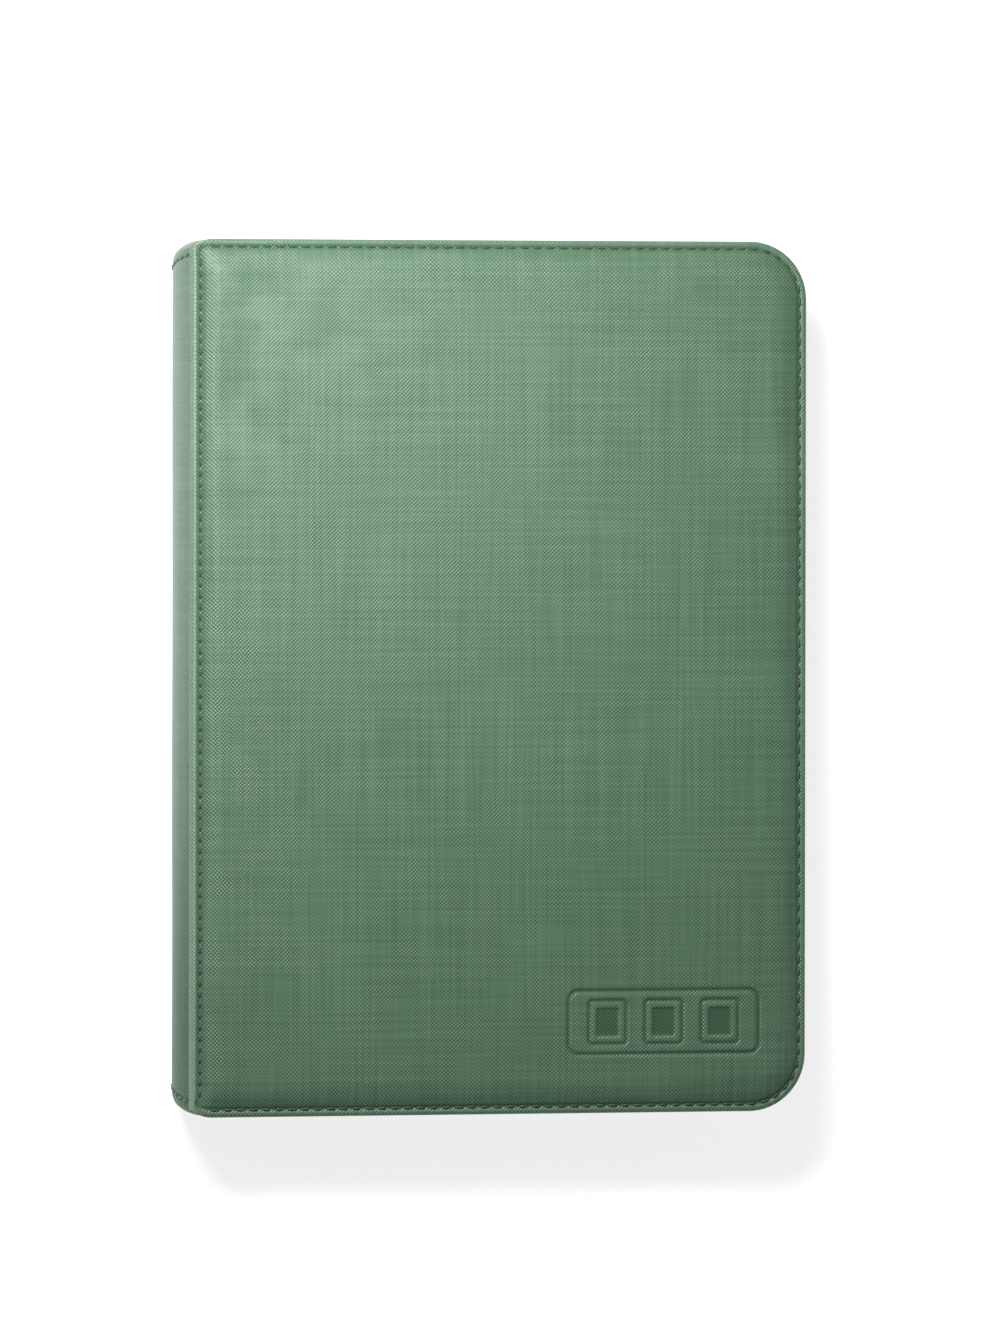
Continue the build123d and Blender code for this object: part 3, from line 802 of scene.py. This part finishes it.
def sew_cover(side):
    """Edge seam and hinge seam of one cover, lying in the grooves that the skin has for them."""
    turned = side == "back"
    flip = np.array([1, 1, -1 if turned else 1])
    hinge = np.array([[X_CREASE + HINGE_SEAM, s * (HALF - 7.5)] for s in (-1, 1)])
    rows = (
        ("edge", fore_path(EDGE_SEAM, X_CREASE + 6.5), EDGE_PITCH, EDGE_STITCH),
        ("hinge", hinge, HINGE_PITCH, HINGE_STITCH),
    )
    for k, (label, path, pitch, length) in enumerate(rows):
        places, along = seam_points(path, pitch)
        drop = BACK_DROP if turned else FRONT_DROP
        level = Z_RIM + cover_height(places[:, 0], places[:, 1], False, drop) + 0.22
        origins = at_level(places, TOP - level if turned else level)
        up = np.tile([0.0, 0.0, flip[2]], (len(places), 1))
        name = f"{side}_{label}_thread"
        stitch_row(
            name, origins, at_level(along, 0) * flip, up, length, 10 * k + turned,
            f"{side}_cover", f"{side}_{label}_stitching",
        )


sew_cover("front")
sew_cover("back")

# %% Sew the spine's ends


def sew_spine():
    """A short curved seam across each end of the spine, lying on its crown."""
    levels = np.linspace(5.0, 33.0, 60)
    places, along = seam_points(np.column_stack([end_edge(levels, 0.0) - EDGE_SEAM, levels]), EDGE_PITCH)
    reach, z = places.T
    slope = SPINE_BULGE * 2 * (z - MID) / (Z_RIM - MID) ** 2
    up = np.column_stack([-np.ones(len(z)), np.zeros(len(z)), slope])
    up = up / np.linalg.norm(up, axis=1, keepdims=True)
    origins, runs = [], []
    for side in (-1, 1):
        run = np.column_stack([np.zeros(len(z)), side * along[:, 0], along[:, 1]])
        run = run - up * (run * up).sum(1, keepdims=True)
        runs.append(run / np.linalg.norm(run, axis=1, keepdims=True))
        origins.append(np.column_stack([X_CREASE - spine_crown(z) + 0.05, side * reach, z]))
    origins, runs, ups = np.concatenate(origins), np.concatenate(runs), np.concatenate([up, up])
    stitch_row("spine_end_thread", origins, runs, ups, EDGE_STITCH, 31, "spine", "spine_stitching")


sew_spine()

# %% [markdown]
# ## Inside: linings
# A dark woven lining is glued over the inner face of each board, and its edge covers the turned-in skin. It is
# a thin sheet with a rolled edge and one sewn line. When the album is closed nobody sees it, but it is the
# whole picture when the covers are open, so it has its weave and its seam too.

# %% Woven cloth finish


def woven_cloth(name, dark, light, period, coordinate="cloth"):
    """Plain weave: the same crossed waves as the grain but finer, with fuzz and a soft sheen."""
    finish = Finish(name)
    place = finish.places(coordinate)
    if coordinate == "object":
        place = finish.add("ShaderNodeVectorMath", {"operation": "SCALE"}, i0=place, Scale=1 / MM).outputs[0]
    threads = weave(finish, place, period)
    fuzz = finish.noise(place, 1.4, 3.0)
    stain = finish.remap(finish.noise(place, 0.03), 0.35, 0.7, 0.0, 0.25)
    colour = finish.blend(finish.remap(threads, -1.0, 1.0, 0.0, 1.0), dark, light)
    return finish.look(
        Base_Color=finish.blend(stain, colour, dark),
        Roughness=finish.remap(fuzz, 0.3, 0.7, 0.7, 0.88),
        Normal=finish.bump(threads, 0.5, 0.00012, finish.bump(fuzz, 0.3, 0.0001)),
        Sheen_Weight=0.3,
    )


LINING = woven_cloth("charcoal_lining", rgb(34, 36, 38), rgb(62, 65, 68), 0.9)

# %% Build the linings
LINING_SEAM = 3.6
LINING_PROFILE = [(GRID_INSET, Z_HEM - 0.02), (2.2, Z_HEM - 0.02), (1.62, Z_HEM - 0.1), (1.5, Z_HEM - 0.3)]
LINING_PROFILE += [(1.62, Z_LINING + 0.1), (2.0, Z_LINING + 0.02)]
for ring_inset in (2.6, 3.1, 3.4, LINING_SEAM, 3.8, 4.1, 4.7, 7, 12, 17):
    LINING_PROFILE.append((ring_inset, Z_LINING + 0.18 * dent(ring_inset - LINING_SEAM, 0.5)))
LINING_PROFILE.append((GRID_INSET, Z_LINING))


def cover_lining(side):
    """Lining sheet: rings set in from its own edge, rolled over at the rim, with one sewn line."""
    drop = BACK_DROP if side == "back" else FRONT_DROP
    gx, gy = cover_grid(5.0)
    rows, cloth = [], []
    for inset, level in LINING_PROFILE:
        plan = cover_ring(inset, gx, gy, drop)
        plan[:, 0] = np.maximum(plan[:, 0], lining_low[0] - 1.5 + min(inset, 8.0))
        rows.append(at_level(plan, level))
        cloth.append(plan + (0, 3.0 * (level > Z_LINING + 0.25)))
    middle = grid_points(gx, gy)
    points = np.concatenate([*rows, at_level(middle, Z_LINING)])
    start = len(points) - len(middle)
    ring_faces = grid_faces(len(rows), len(rows[0]), around=True)
    faces = np.concatenate([ring_faces, grid_faces(len(gy), len(gx), start=start)])[:, ::-1]
    if side == "back":
        points, faces = turn_over(points, faces)
    piece = make_piece(
        f"{side}_cover_lining", points, faces, LINING, np.concatenate([*cloth, middle]), merge=CLOSE
    )
    hang(piece, f"{side}_cover", "lining_cloth", f"{side}_lining")


cover_lining("front")
cover_lining("back")

# %% Build the spine's lining
ROLLED_STEPS = (0, 0.1, 0.4, 1.5, 2.0, 2.5)


def spine_lining():
    """Flat sheet on the inner face of the spine, with its long edges and ends rolled under."""
    low, high = box_mm("spine_lining")
    across = [low[2], low[2] + 0.1, low[2] + 0.4, *np.linspace(low[2] + 2, high[2] - 2, 9)]
    across = np.array([*across, high[2] - 0.4, high[2] - 0.1, high[2]])
    edge = np.minimum(across - low[2], high[2] - across)
    length = end_edge(across, 0.0) - 1.5
    levels = [-length + step for step in ROLLED_STEPS]
    levels += [-length + step * length / HALF for step in np.linspace(8, 2 * HALF - 8, 60)]
    levels += [length - step for step in ROLLED_STEPS[::-1]]
    rows = []
    for y in levels:
        from_end = np.abs(length - np.abs(y))
        inset = np.clip(np.minimum(from_end, edge) / 0.4, 0, 1)
        x = high[0] - 0.45 * (1 - np.sqrt(1 - (1 - inset) ** 2)) - 0.15 * dent(from_end - 2.0, 0.4)
        rows.append(np.column_stack([x, y, across]))
    points = np.concatenate(rows)
    faces = grid_faces(len(rows), len(across))[:, ::-1]
    piece = make_piece("spine_inner_lining", points, faces, LINING, points[:, 1:])
    hang(piece, "spine", "lining_cloth", "spine_lining")


spine_lining()

# %% [markdown]
# ## The zip
# Two woven tapes stand up inside the rim, one on each cover, and each carries a row of moulded teeth. A tape
# is a thin section carried along the rim's path. A tooth is a short post with a wider head, and the two rows
# are half a step apart, so that their heads pass each other and lock. Hundreds of teeth share one small shape.

# %% Tape
TAPE = woven_cloth("dark_green_tape", rgb(22, 34, 27), rgb(44, 60, 49), 0.7)
SELVEDGE_HALF = 0.42


def zip_tape(side):
    """Thin section with thick selvedges carried along the rim, from the lining to the teeth."""
    path = fore_path(ZIP_INSET, tape_low[0])
    length = stations(path)[-1]
    at = np.linspace(0, length, round(length / 3.0) + 1)
    points = on_path(path, at)
    along = np.gradient(points, axis=0)
    along = along / np.linalg.norm(along, axis=1, keepdims=True)
    out = np.column_stack([along[:, 1], -along[:, 0]])
    low, high = tape_low[2] - 0.4, tape_high[2]
    level = np.array([low, low + 0.15, low + 0.9, low + 1.2, *np.linspace(low + 2, high - 0.3, 8), high])
    thick = np.where(level < low + 1.0, SELVEDGE_HALF, TAPE_HALF * 0.8)
    thick[0], thick[-1] = 0.22, 0.25
    section = np.concatenate([np.column_stack([thick, level]), np.column_stack([-thick, level])[::-1]])
    offset, height = section.T
    offset = offset[None, :] + 0.1 * np.sin(at / 11.0)[:, None] * np.clip((high - height) / 6, 0, 1)[None, :]
    plan = points[:, None, :] + offset[..., None] * out[:, None, :]
    size, count = len(section), len(points)
    shape = np.column_stack([plan.reshape(-1, 2), np.tile(height, count)])
    caps = [list(range(size)), list(range(count * size - 1, (count - 1) * size - 1, -1))]
    faces = grid_faces(count, size, around=True)[:, [0, 3, 2, 1]].tolist() + caps
    if side == "back":
        shape, faces = turn_over(shape, faces)
    cloth = np.column_stack([np.repeat(at, size), np.tile(height, count)])
    piece = make_piece(f"{side}_tape", shape, faces, TAPE, cloth)
    hang(piece, f"{side}_cover", "zip_tape", f"{side}_zip_tape")


zip_tape("front")
zip_tape("back")

# %% Teeth


def moulded(name, colour, worn, rough, metal):
    """Hard finish for teeth and metal parts: small colour changes, fine scratches and a little unevenness."""
    finish = Finish(name)
    place = finish.places("object")
    scratch = finish.noise(place, 1400.0, 2.0, 0.8)
    cloud = finish.remap(finish.noise(place, 260.0, 4.0), 0.4, 0.7, 0.0, 1.0)
    return finish.look(
        Base_Color=finish.blend(cloud, colour, worn),
        Roughness=finish.remap(scratch, 0.3, 0.7, rough - 0.07, rough + 0.09),
        Normal=finish.bump(scratch, 0.2, 0.00003),
        Metallic=metal,
    )


TEETH = moulded("dark_green_teeth", rgb(24, 38, 30), rgb(38, 54, 44), 0.38, 0.0)
METAL = moulded("gunmetal", rgb(96, 98, 102), rgb(140, 142, 146), 0.3, 1.0)
TOOTH_PITCH = 2.0
TOOTH_RINGS = [(0.0, 0.52, 1.15), (1.3, 0.38, 0.85), (2.3, 0.46, 1.15), (3.15, 0.26, 0.75)]
SLIDER_ROOM = 14.5  # the front row starts past the slider


def tooth_shape():
    """Four hexagonal rings from root to tip, as depth and half sizes: root, neck, wide head, rounded tip."""
    turn = np.radians([0, 60, 120, 180, 240, 300])
    rings = [np.column_stack([a * np.cos(turn), b * np.sin(turn), np.full(6, -h)]) for h, a, b in TOOTH_RINGS]
    faces = grid_faces(4, 6, around=True).tolist()
    return np.concatenate(rings), faces + [[5, 4, 3, 2, 1, 0], [18, 19, 20, 21, 22, 23]]


def zip_teeth(side):
    """Teeth along the rim's path, the back row half a step on from the front row."""
    turned = side == "back"
    path = fore_path(ZIP_INSET, X_CREASE + 14.2)
    first = 1.0 if turned else 0.5
    walked = np.arange(first, stations(path)[-1] / TOOTH_PITCH - 0.4) * TOOTH_PITCH
    walked = walked[walked > (0.0 if turned else SLIDER_ROOM)]
    along = heading(path, walked)
    out = np.column_stack([along[:, 1], -along[:, 0]])
    shape, faces = tooth_shape()
    plan = on_path(path, walked)[:, None]
    plan = plan + shape[None, :, :1] * along[:, None] + shape[None, :, 1:2] * out[:, None]
    teeth = np.column_stack([plan.reshape(-1, 2), np.tile(tape_low[2] + shape[:, 2], len(walked))])
    faces = copies(faces, len(shape), len(walked))
    if turned:
        teeth, faces = turn_over(teeth, faces)
    piece = make_piece(f"{side}_teeth", teeth, faces, TEETH, smooth=False)
    hang(piece, f"{side}_cover", "zip_teeth", f"{side}_zip_chain")


zip_teeth("front")
zip_teeth("back")

# %% [markdown]
# ## Pocket leaves
# Each leaf is a black sheet with clear pockets welded to both faces, three rows of three. The sheet starts at
# the fold by its stub, where its lines lie close together. A pocket is a low crowned patch
# of film, lowest at its welds, with a thumb cut in the side where a card goes in.

# %% Leaf finishes


def sheet_finish():
    """Black polypropylene sheet: matt, with a faint pebble and a grey bloom."""
    finish = Finish("black_sheet")
    place = finish.places("object")
    bloom = finish.noise(place, 25.0)
    return finish.look(
        Base_Color=finish.blend(bloom, rgb(20, 20, 22), rgb(36, 37, 39)),
        Roughness=finish.remap(bloom, 0.3, 0.7, 0.42, 0.6),
        Normal=finish.bump(finish.noise(place, 900.0, 3.0), 0.3, 0.00004),
    )


def film_finish():
    """Clear film: mostly see-through, glossy, with slow ripples."""
    finish = Finish("clear_film")
    ripple = finish.noise(finish.places("object"), 28.0)
    return finish.look(
        Base_Color=finish.blend(ripple, rgb(190, 196, 200), rgb(225, 230, 234)),
        Roughness=finish.remap(ripple, 0.3, 0.7, 0.08, 0.18),
        Normal=finish.bump(ripple, 0.35, 0.0006),
        Alpha=0.2,
    )


SHEET, FILM = sheet_finish(), film_finish()

# %% Build the leaves
LEAVES = sorted(name for name in frame["nodes"] if name.startswith("leaf_") and name[5:].isdigit())
CORE = 0.15  # half the thickness of a leaf's sheet
CORNER = 6  # radius of a leaf's outer corners
POCKETS = 3  # rows and columns
WELD = 3.0
POCKET_START = X_CREASE + 15.4
OUTER_MARGIN, SIDE_MARGIN = 3.0, 5.0


def leaf_sheet(name, fold, level, x_end, half):
    """Closed thin sheet: columns close together at the fold, and two rounded outer corners."""
    gx = [*(fold + np.linspace(-0.6, 1.2, 13)), *np.linspace(fold + 4, x_end - CORNER, 12)]
    gx = np.array([*gx, *(x_end - np.array([4, 2.4, 1.2, 0.5, 0.1, 0]))])
    back = np.clip(CORNER - (x_end - gx), 0, CORNER)
    reach = half - (CORNER - np.sqrt(CORNER**2 - back**2))
    share = np.array([-1, -0.997, *np.linspace(-0.9, 0.9, 13), 0.997, 1])
    mesh_y = reach[None, :] * share[:, None]
    mesh_x = np.broadcast_to(gx, mesh_y.shape)
    rows, columns = mesh_y.shape
    count = rows * columns
    sheets = [at_level(np.column_stack([mesh_x.ravel(), mesh_y.ravel()]), level + s * CORE) for s in (1, -1)]
    ring = np.concatenate([
        np.arange(columns), columns * np.arange(1, rows) + columns - 1,
        (rows - 1) * columns + np.arange(columns - 2, -1, -1), columns * np.arange(rows - 2, 0, -1),
    ])
    after = np.roll(ring, -1)
    wall = np.column_stack([ring, ring + count, after + count, after])
    lower = grid_faces(rows, columns, start=count)[:, ::-1]
    faces = np.concatenate([grid_faces(rows, columns), lower, wall])
    return make_piece(f"{name}_sheet", np.concatenate(sheets), faces, SHEET, smooth=False)


def pocket_patch(width, height):
    """One pocket of film, 9 by 9 points: low at the welds, crowned between, with a thumb cut in its open side."""
    t = np.array([0, 0.02, 0.08, 0.25, 0.5, 0.75, 0.92, 0.98, 1.0])
    u, v = np.meshgrid(t, t)
    near_u, near_v = np.minimum(u, 1 - u), np.minimum(v, 1 - v)
    cut = 3.2 * dent(v - 0.5, 0.11) * np.clip((u - 0.5) * 2, 0, 1) ** 2
    crown = np.clip(np.minimum(near_u * width, near_v * height) / 6, 0, 1)
    rise = CORE - 0.01 + 0.03 * (np.minimum(near_u, near_v) > 0) + 0.08 * ramp(crown)
    points = np.stack([(u - 0.5) * width - cut, (v - 0.5) * height, rise], -1)
    return points.reshape(-1, 3), grid_faces(len(t), len(t))


def leaf_pockets(name, level, x_to, half):
    """Nine pockets on each face of a leaf, joined into one piece."""
    width = (x_to - POCKET_START - (POCKETS - 1) * WELD) / POCKETS
    height = (2 * half - (POCKETS - 1) * WELD) / POCKETS
    patch, quads = pocket_patch(width, height)
    points, faces = [], []
    for sign in (1, -1):
        for column in range(POCKETS):
            for row in range(POCKETS):
                x = POCKET_START + width / 2 + column * (width + WELD)
                y = -half + height / 2 + row * (height + WELD)
                faces.append((quads if sign > 0 else quads[:, ::-1]) + len(points) * len(patch))
                points.append(patch * (1, 1, sign) + (x, y, level))
    return make_piece(f"{name}_pockets", np.concatenate(points), np.concatenate(faces), FILM)


for name in LEAVES:
    low, high = box_mm(name)
    level = (low[2] + high[2]) / 2
    fold = JOINTS[f"{name}_turn"]["pos_m"][0] / MM
    sheet = leaf_sheet(name, fold, level, high[0], high[1])
    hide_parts(name)
    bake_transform(sheet)
    hang(leaf_pockets(name, level, high[0] - OUTER_MARGIN, high[1] - SIDE_MARGIN), name, "leaf_sheet")

# %% [markdown]
# ## Finishes for the hard pieces
# The boards, the binding and its stubs, and the zip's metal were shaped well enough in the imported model. They
# keep their shapes, and each gets its finish here.

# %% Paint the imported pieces


def board_finish():
    """Pressed grey board with fine pulp fibres."""
    finish = Finish("grey_board")
    fibres = finish.noise(finish.places("object"), 420.0, 5.0, 0.8)
    colour = finish.blend(fibres, rgb(112, 108, 100), rgb(158, 153, 143))
    return finish.look(Base_Color=colour, Normal=finish.bump(fibres, 0.4, 0.0001), Roughness=0.9)


def foam_finish():
    """Cream polyurethane foam: small cells and darker pits."""
    finish = Finish("cream_foam")
    cells = finish.add("ShaderNodeTexVoronoi", Vector=finish.places("object"), Scale=900.0).outputs["Distance"]
    colour = finish.blend(cells, rgb(226, 220, 200), rgb(196, 188, 166))
    return finish.look(Base_Color=colour, Normal=finish.bump(cells, 0.5, 0.0002), Roughness=0.95)


BOARD, FOAM = board_finish(), foam_finish()
CLOTH = woven_cloth("charcoal_binding", rgb(30, 32, 34), rgb(54, 57, 60), 0.9, "object")
FINISHES = {
    "board": BOARD, "foam": FOAM, "stitching": THREAD, "slider": METAL, "pull": METAL, "stops": METAL,
    "tape": TAPE, "chain": TEETH, "stubs": SHEET, "leaf": SHEET, "binding": CLOTH, "lining": CLOTH, "skin": SKIN,
}
for name, node in frame["nodes"].items():
    material = next(finish for key, finish in FINISHES.items() if key in name)
    if not node.material_slots:
        node.data.materials.append(material)
    for place in node.material_slots:
        place.material = material
for piece in foams:
    piece.data.materials.append(FOAM)

# %% [markdown]
# ## Stage, light and camera
# A plain near-white floor, one large soft lamp up and to the left, a small near lamp whose gloss falls on the
# upper left of the cover, and a weak surround. The camera stands far off with a long lens, a little to the
# spine's side of straight above, so that the spine shows and the edges stay nearly parallel.

# %% Camera
SIDE_ANGLE = math.radians(14.5)
HEAD_ANGLE = math.radians(1.0)
ROLL = math.radians(0.083)
DISTANCE = 5.0
SENSOR_MM = 36.0
LENS_MM = 454.752
AIM = np.array([0.005015, 0.004023, 0.019])


def place_camera():
    """A long-lens camera at a distance from the point it aims at, turned a little about its own line of sight."""
    level = math.cos(HEAD_ANGLE)
    toward = np.array([-math.sin(SIDE_ANGLE) * level, math.sin(HEAD_ANGLE), math.cos(SIDE_ANGLE) * level])
    upward = np.array([0.0, 1.0, 0.0]) - toward * toward[1]
    upward = upward / np.linalg.norm(upward)
    right = np.cross(upward, toward)
    data = bpy.data.cameras.new("camera")
    data.sensor_fit = "HORIZONTAL"
    data.sensor_width = SENSOR_MM
    data.lens = LENS_MM
    data.clip_end = 50.0
    camera = bpy.data.objects.new("camera", data)
    axes = np.eye(4)
    axes[:3, 0] = right * math.cos(ROLL) + upward * math.sin(ROLL)
    axes[:3, 1] = upward * math.cos(ROLL) - right * math.sin(ROLL)
    axes[:3, 2] = toward
    axes[:3, 3] = AIM + DISTANCE * toward
    camera.matrix_world = Matrix(axes.tolist())
    bpy.context.scene.collection.objects.link(camera)
    bpy.context.scene.camera = camera
    print("camera lens", round(data.lens, 1), "mm at", np.round(axes[:3, 3], 3))


place_camera()

# %% Floor and lamps
FLOOR_REACH = 6000.0
FLOOR_LEVEL = -0.2


def floor():
    """A wide pale floor just under the album, with faint unevenness and a glow that keeps its shadows light."""
    finish = Finish("pale_floor")
    cloud = finish.noise(finish.places("object"), 3.0)
    colour = finish.blend(cloud, rgb(236, 236, 236), rgb(240, 240, 240))
    finish.look(Base_Color=colour, Roughness=0.9, Emission_Color=(1, 1, 1, 1), Emission_Strength=0.76)
    corners = [(x * FLOOR_REACH, y * FLOOR_REACH, FLOOR_LEVEL) for x, y in ((-1, -1), (1, -1), (1, 1), (-1, 1))]
    make_piece("floor", corners, [(0, 1, 2, 3)], finish.material, smooth=False)


def lamp(name, where, size, watts):
    """A square soft lamp that faces the album."""
    data = bpy.data.lights.new(name, "AREA")
    data.shape, data.size, data.energy = "SQUARE", size, watts
    piece = bpy.data.objects.new(name, data)
    piece.location = where
    piece.rotation_euler = Vector(where).to_track_quat("Z", "Y").to_euler()
    bpy.context.scene.collection.objects.link(piece)


def surround(strength):
    """An even pale surround that fills the shadows."""
    world = bpy.data.worlds.new("surround")
    world.use_nodes = True
    inputs = world.node_tree.nodes["Background"].inputs
    inputs["Color"].default_value = (0.95, 0.97, 1.0, 1)
    inputs["Strength"].default_value = strength
    bpy.context.scene.world = world


floor()
lamp("key", (-0.52, 0.66, 0.74), 0.40, 8.7)
lamp("sheen", (-0.09, 0.20, 0.38), 0.14, 1.2)
surround(0.125)
bpy.context.scene.view_settings.view_transform = "Standard"
